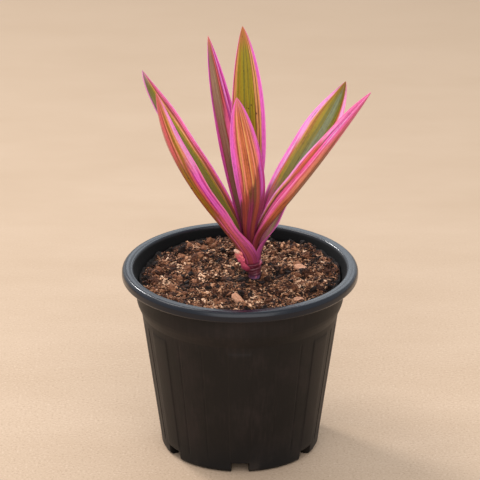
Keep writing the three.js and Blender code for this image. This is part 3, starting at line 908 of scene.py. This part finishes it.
def shade_at(x, y):
    """How much paler than usual the mix is: patchy, and darker near the wall as painted shade."""
    # Painted shade: the mix darkens over the last few millimetres before the wall.
    shade = 0.04 - 0.26 * ease(np.hypot(x, y), 54, 63)
    for centre_x, centre_y, reach, lift in PATCHES:
        shade = shade + lift * np.exp(-((x - centre_x) ** 2 + (y - centre_y) ** 2) / reach ** 2)
    return shade


def bent_lines(centre, forward, sideways, length, bow, steps):
    """Even points along lines of these lengths, which bow sideways most in the middle, and the points'
    shares of the length, from -0.5 to 0.5."""
    share = np.linspace(-0.5, 0.5, steps)
    along = (length[:, None] * share)[..., None] * forward[:, None]
    bowed = (bow[:, None] * (1 - 4 * share ** 2))[..., None] * sideways[:, None]
    return centre[:, None] + along + bowed, share


# Loose crumbs, from the coarsest to the finest: the rings and sides of the ball they start from, how many
# there are, their smallest and largest size, how long they get, the seed, their darkest and palest shade,
# and how far their middles stand above the surface, as a share of their size.
CRUMBS = {
    "mix_clods": ((4, 7), 300, (2.4, 5.6), 1.6, 21, (-0.1, 0.55), 0.05),
    "mix_crumbs": ((2, 5), 2600, (0.8, 2.6), 2, 22, (-0.05, 0.75), 0.1),
    "mix_crumbs_fine": ((2, 4), 8000, (0.45, 1.2), 2.4, 23, (0.05, 0.95), 0.2),
}


def scatter(name, material, fineness, count, sizes, stretch, seed, shades, lift):
    """Copies of a ball, each with its own size, length, turn, tilt and dents, half sunk in the surface."""
    ball, faces = blob(*fineness)
    draw = np.random.default_rng(seed)
    x, y = strewn_places(draw, count, 1.5)
    size = sizes[0] * (sizes[1] / sizes[0]) ** (draw.uniform(0, 1, count) ** 1.8)
    length = draw.uniform(1, stretch, count)
    shape = vectors(size * length, size, size * draw.uniform(0.55, 1, count)) / 2
    dents = 1 + 0.36 * draw.uniform(-1, 1, (count, len(ball), 1))
    local = ball[None] * dents * shape[:, None]
    yaw, tilt = draw.uniform(0, 2 * math.pi, count), draw.normal(0, 0.4, count)
    centre = vectors(x, y, soil_surface(x, y) + size * lift)
    points = local @ resting_axes(yaw, tilt, np.zeros(count)) + centre[:, None]
    shade = np.repeat(draw.uniform(*shades, count) + shade_at(x, y), len(ball))
    make_piece(name, points, copies(faces, count, len(ball)), material, "crumb", shade,
               smooth=False)


def make_shreds(material):
    """Torn shreds of coir and bark: uneven four-cornered sections along a bent line, which is narrow at
    its ends and lies at any turn and a random tilt."""
    draw = np.random.default_rng(41)
    count, stations = 5200, 5
    x, y = strewn_places(draw, count, 2.5)
    length = 1.1 + 3.9 * draw.uniform(0, 1, count) ** 2.8
    width = length * draw.uniform(0.14, 0.34, count)
    depth = width * draw.uniform(0.3, 0.7, count)
    yaw, pitch = draw.uniform(0, 2 * math.pi, count), draw.normal(0, 0.34, count)
    axes = resting_axes(yaw, pitch, draw.normal(0, 0.5, count))
    forward, sideways, upward = np.moveaxis(axes, 1, 0)
    bow = draw.normal(0, 0.1, count) * length
    centre = vectors(x, y, soil_surface(x, y) + 0.25 + 0.3 * depth)
    spine, share = bent_lines(centre, forward, sideways, length, bow, stations)
    spine = within_wall(spine, 1.2)
    slim = (1 - 0.7 * (2 * np.abs(share)) ** 2.5)[None, :, None]
    uneven = draw.uniform(0.6, 1.2, (2, count, stations, 4))
    across = 0.5 * np.array([1, 1, -1, -1]) * width[:, None, None] * slim * uneven[0]
    tall = 0.5 * np.array([-1, 1, 1, -1]) * depth[:, None, None] * slim * uneven[1]
    points = (spine[:, :, None] + across[..., None] * sideways[:, None, None]
              + tall[..., None] * upward[:, None, None])
    size = stations * 4
    caps = np.array([[3, 2, 1, 0], [size - 4, size - 3, size - 2, size - 1]])
    groups = copies([grid_quads(stations, 4), caps], count, size)
    shade = 0.06 + 0.98 * draw.uniform(0, 1, (count, 1)) ** 1.5
    shade = shade + shade_at(x, y)[:, None] + draw.uniform(-0.08, 0.08, (count, size))
    make_piece("mix_shreds", points, groups, material, "crumb", shade.ravel(), smooth=False)


def make_fibres(material):
    """Short coir hairs: three-sided tubes along shallow arcs that lie on the surface."""
    draw = np.random.default_rng(31)
    count, steps = 320, 8
    start = vectors(*places_in_disc(draw, count, 4))
    yaw = draw.uniform(0, 2 * math.pi, count)
    length, bow = draw.uniform(2.5, 9, count), draw.normal(0, 0.9, count)
    heading = vectors(np.cos(yaw), np.sin(yaw))
    across = vectors(-heading[:, 1], heading[:, 0])
    flat, share = bent_lines(start, heading, across, length, bow, steps)
    flat = within_wall(flat, 1)
    rise = 0.35 + draw.uniform(0, 1.1, (count, 1)) * (1 - 4 * share ** 2)
    lift = soil_surface(flat[..., 0], flat[..., 1]) + rise
    spine = np.concatenate([flat, lift[..., None]], axis=-1)
    turn = around(3)[:, None]
    girth = draw.uniform(0.07, 0.17, (count, 1, 1, 1)) * (1 - 0.6 * (2 * share) ** 4)[None, :, None, None]
    sideways = np.concatenate([across, np.zeros((count, 1))], axis=-1)[:, None, None]
    section = np.cos(turn) * sideways + np.sin(turn) * np.array([0, 0, 1.0])
    points = spine[:, :, None] + girth * section
    size = steps * 3
    caps = np.array([[0, 1, 2], [size - 1, size - 2, size - 3]])
    groups = copies([grid_quads(steps, 3)[:, ::-1], caps], count, size)
    shade = np.repeat(draw.uniform(0.3, 0.9, count), size)
    make_piece("coir_fibres", points, groups, material, "crumb", shade)


# Each chip's place, length, width, turn and dip.
BARK_CHIPS = [
    (-1.3, -37.5, 9.6, 5.2, -36, 34), (39.2, 12.2, 9.5, 5, -28, 12), (36.7, -37.8, 6.5, 3.8, 15, 8),
]


def bark_finish():
    """Pale pinkish bark with grain along its length."""
    finish = Finish("bark", Specular_IOR_Level=0.3)
    along, across, deep = finish.attribute("chip")
    grain = finish.streaks(along * 2, across * 9, deep * 9, 4, 0.6)
    stops = [(0.25, "6a4030"), (0.42, "a87458"), (0.62, "cf9e80"), (0.85, "e4bca0")]
    finish.shade(
        Base_Color=finish.ramp(grain, stops),
        Roughness=0.9 - grain * 0.15,
        Normal=finish.bump(grain, 0.0005, 0.8),
    )
    return finish.material


def make_chips():
    """The larger flakes of bark: flattened rounded blocks with chipped ends and ridged faces."""
    thickness, roll = 1.2, 0.25
    material = bark_finish()
    for number, (x, y, length, width, yaw, dip) in enumerate(BARK_CHIPS):
        points, faces = turned_skin(ball_line(26, 0.35), around(40))
        turn = np.arctan2(points[:, 1], points[:, 0])
        boxy = (np.abs(np.cos(turn)) ** 5 + np.abs(np.sin(turn)) ** 5) ** -0.2
        boxy = boxy * (1 + 0.1 * lumps(points[:, 2] * 4 + number * 9, turn * 4, 1.0, 50 + number))
        place = vectors(points[:, 2], points[:, 0] * boxy, points[:, 1] * boxy)
        ridges = 1 + 0.08 * lumps(place[:, 1] * 5, place[:, 0] * 0.8, 1.0, 60 + number)
        local = place * np.array([length / 2, width / 2, thickness]) * ridges[:, None]
        chipped = 0.5 * lumps(place[:, 1] * 3, place[:, 2] * 3, 1.0, 70 + number)
        local[:, 0] += chipped * np.abs(place[:, 0]) ** 3
        lying = local @ resting_axes(math.radians(yaw), -math.radians(dip), roll)
        level = soil_surface(np.array([float(x)]), np.array([float(y)]))[0] + 1 + 0.04 * dip
        make_piece(f"bark_chip_{number + 1}", lying + np.array([x, y, level]), faces, material,
                   "chip", place)


def make_soil():
    """The bed and what lies on it."""
    crumbs = mix_finish("coir_crumbs", "150a06", "e4bd9c")
    # The bed's palette is darker than the crumbs': painted shade in the gaps between the crumbs.
    make_soil_bed(mix_finish("coir_bed", "0e0704", "a07456"))
    for name, measures in CRUMBS.items():
        scatter(name, crumbs, *measures)
    make_shreds(crumbs)
    make_fibres(crumbs)
    make_chips()


# Pot.

POT_HEIGHT = 121.8
RIM_RADIUS = 75
TAPER = ((50.8, 5.7), (62.7, 92.6))
NOTCHES = np.array([0, 55.5, 124.5, 180, 235.5, 304.5])
NOTCH_HALF_ANGLE = 6.75
NOTCH_HEIGHT = 7
FLOOR_HEIGHT = 8
# Angles of grooves in one quadrant with their depths; the other quadrants mirror it.
GROOVES = ((23, 0.3), (38.5, 0.35), (68.3, 0.6), (75.5, 0.6))
GROOVE_HALF_WIDTH = 0.8
DRAIN = {"radius": 4, "ring": 37, "angles": (28, 90, 152, 208, 270, 332)}


def taper_radius(height):
    """The wall's outer radius at a height."""
    (low_radius, low), (high_radius, high) = TAPER
    return low_radius + (high_radius - low_radius) * (height - low) / (high - low)


def pot_line():
    """The pot's section from the middle of its underside, up the outside, over the rim and down inside."""
    outside = [
        (0, FLOOR_HEIGHT), (44.3, FLOOR_HEIGHT), (44.7, 0), (47.7, 0), (49.6, 0.9), (50.5, 2.4), TAPER[0],
        (taper_radius(8), 8), (taper_radius(84), 84), (taper_radius(88), 88), TAPER[1], (63.4, 94.2),
        (65, 98), (65.7, 100.5), (65.9, 103), (66.1, 112), (67, 115.2), (69.3, 117.9), (71.8, 119.3),
        (73, 118.3), (73, 115.1), (74.4, 115.1), (RIM_RADIUS, 116), (RIM_RADIUS, 119), (74.5, 120.4),
        (73.4, 121.5), (72.4, POT_HEIGHT),
    ]
    inside = [
        (70.6, 121.6), (68.8, 121.7), (68, 121), (66.7, 118.7), (65.1, 115.1), (64.2, 111.5), (64.2, 101.1),
        (61.2, 93.2), (taper_radius(13) - 1.5, 13), (taper_radius(10) - 2.8, 10.1),
        (taper_radius(10) - 4.5, 9.5), (0, 9.5),
    ]
    line = np.array(outside + inside)
    return fill_gaps(round_corners(line, 0.45), 3.4)


def groove_angles():
    """Every groove's angle from the front and its depth."""
    mirrored = [((angle, 180 - angle, 180 + angle, 360 - angle), depth) for angle, depth in GROOVES]
    return np.array([(angle, depth) for angles, depth in mirrored for angle in angles])


def angle_between(first, second):
    """How far apart two angles in degrees are, the shorter way round."""
    return np.abs((first - second + 180) % 360 - 180)


def pot_angles():
    """Even steps round the pot, closer at the grooves, the panels' edges and the notches' sides."""
    even = np.arange(0, 360, 2.4)
    grooves = np.add.outer(groove_angles()[:, 0], [-1.1, -0.8, -0.4, 0, 0.4, 0.8, 1.1])
    edges = np.add.outer(NOTCHES, [side * edge for side in (-1, 1) for edge in (6.3, 6.7, 6.75, 7.1, 7.5)])
    every = np.unique(np.round(np.concatenate([even, grooves.ravel(), edges.ravel()]) % 360, 3))
    return np.radians(every[np.concatenate([[True], np.diff(every) > 0.03])] - 90)


def shape_pot(radius, height, angle):
    """Over each notch the wall bulges a little, shallow grooves run up it, and the foot ring is cut."""
    from_front = np.degrees(angle) + 90
    from_notch = angle_between(from_front[..., None], NOTCHES).min(axis=-1)
    outside = (radius > taper_radius(height) - 0.8) & (height > 6) & (height < 91)
    upright = ease(height, 8, 10) * ease(height, 89, 87) * outside
    panel = 0.4 * ease(from_notch, 7.3, 6.5) * upright
    groove = np.zeros_like(radius)
    for centre, depth in groove_angles():
        off = angle_between(from_front, centre) * np.radians(1) * radius
        groove = np.maximum(groove, depth * np.clip(1 - off / GROOVE_HALF_WIDTH, 0, 1))
    cut = (from_notch < NOTCH_HALF_ANGLE - 0.02) & (height < NOTCH_HEIGHT) & (radius > 44)
    return radius + panel - groove * upright, np.where(cut, NOTCH_HEIGHT, height)


def pot_finish():
    """Black polypropylene: glossy on the rim, with a slight blue tint there that is painted reflection of
    the sky, matte and dusty brown on the wall, with faint flow lines up it, scuffs and a paler bloom by the
    foot. The inner wall above the mix is painted near black as shade."""
    finish = Finish("pot_plastic", Coat_Roughness=0.24, Specular_IOR_Level=0.18)
    place = finish.place()
    x, y, z = finish.parts(place)
    from_axis = ((x - AXIS_X) ** 2 + y ** 2) ** 0.5
    rim = finish.ease(z, 0.1142, 0.1150) * finish.ease(from_axis, 0.0672, 0.0682)
    # Painted shade: the inner wall above the mix is made near black.
    behind = from_axis - (z - 0.112) * 0.35
    inside = finish.ease(z, 0.1100, 0.1115) * finish.ease(behind, 0.0656, 0.0648) * (1 - rim)
    flow = finish.streaks(x * 700, y * 700, z * 14, 3)
    cloud = finish.noise(place, 38, 4, 0.6)
    speck = finish.noise(place, 1500, 2)
    scratch = finish.ease(finish.streaks(x * 300, y * 300, z * 2600), 0.68, 0.8)
    dust = finish.ease(cloud + (flow - 0.5) * 0.5, 0.4, 0.9) * (1 - rim * 0.8)
    colour = finish.layers(
        "0e0c0b",
        ("2e2422", dust * 0.55 + speck * 0.12),
        # Painted reflection: the rim's blue-black stands for the sky mirrored in it.
        ("0c111b", rim * 0.92),
        ("040404", inside * 0.95),
        ("544a43", scratch * finish.ease(cloud, 0.5, 0.7) * 0.22),
        ("0e1013", finish.ease(z, 0.03, 0) * 0.6),
        ("544940", finish.ease(z, 0.012, 0.001) * finish.ease(cloud, 0.5, 0.7) * 0.2),
    )
    finish.shade(
        Base_Color=colour,
        Roughness=0.52 - rim * 0.27 + dust * 0.12 + (speck - 0.5) * 0.08 + inside * 0.35,
        Coat_Weight=rim * 0.38 + (1 - rim) * (1 - inside) * 0.1,
        Normal=finish.bump(flow * 0.5 + speck * 0.3 + cloud, 0.0002, 0.5),
    )
    return finish.material


def cut_holes(piece):
    """Cuts round drain holes through the floor, one between each two notches."""
    low, high, radius = FLOOR_HEIGHT - 3, FLOOR_HEIGHT + 4, DRAIN["radius"]
    section = np.array([(0, low), (radius, low), (radius, high), (0, high)], float)
    drain, faces = turned_skin(section, around(32))
    centres = DRAIN["ring"] * compass(np.array(DRAIN["angles"]) - 90)
    faces = copies(faces, len(centres), len(drain))
    mesh = bpy.data.meshes.new("drains")
    fill_mesh(mesh, drain + centres[:, None], faces)
    cutter = add_object("drains", mesh)
    boolean = piece.modifiers.new("drains", "BOOLEAN")
    boolean.operation = "DIFFERENCE"
    boolean.solver = "MANIFOLD"
    boolean.object = cutter
    bpy.context.view_layer.update()
    shaped = piece.evaluated_get(bpy.context.evaluated_depsgraph_get())
    cut = bpy.data.meshes.new_from_object(shaped)
    piece.modifiers.clear()
    piece.data = cut
    bpy.data.objects.remove(cutter)


def make_pot():
    """Turns the pot's section about its axis, with its floor on the notches' tops."""
    points, faces = turned_skin(pot_line(), pot_angles(), shape_pot)
    pot = make_piece("nursery_pot", points, faces, pot_finish())
    cut_holes(pot)
    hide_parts("pot")


# Floor.


def make_floor():
    """A plain pale floor with a faint grain and soft streaks, a little darker further back."""
    finish = Finish("floor", Specular_IOR_Level=0.2)
    x, y, _ = finish.parts(finish.place())
    grain = finish.noise(finish.place(), 620, 3, 0.7)
    near = finish.ease(y, 0.5, -0.05)
    cloud = finish.streaks(x * 7, y * 16, 0, 4, 0.6)
    colour = finish.layers(
        "a99179",
        ("bba48e", cloud),
        ("8d7a66", finish.ease(y, -0.15, 1.4)),
        ("7e664f", finish.ease(grain, 0.52, 0.72) * near * 0.5),
        ("d6c2ae", finish.ease(grain, 0.46, 0.28) * near * 0.4),
    )
    finish.shade(Base_Color=colour, Roughness=0.95 - grain * 0.1)
    mesh = bpy.data.meshes.new("floor")
    reach = 8
    corners = [(-reach, -reach, 0), (reach, -reach, 0), (reach, reach, 0), (-reach, reach, 0)]
    mesh.from_pydata(corners, [], [(0, 1, 2, 3)])
    mesh.materials.append(finish.material)
    add_object("floor", mesh)


make_camera()
make_lights()
make_floor()
make_pot()
make_soil()
make_stem()
make_leaves()
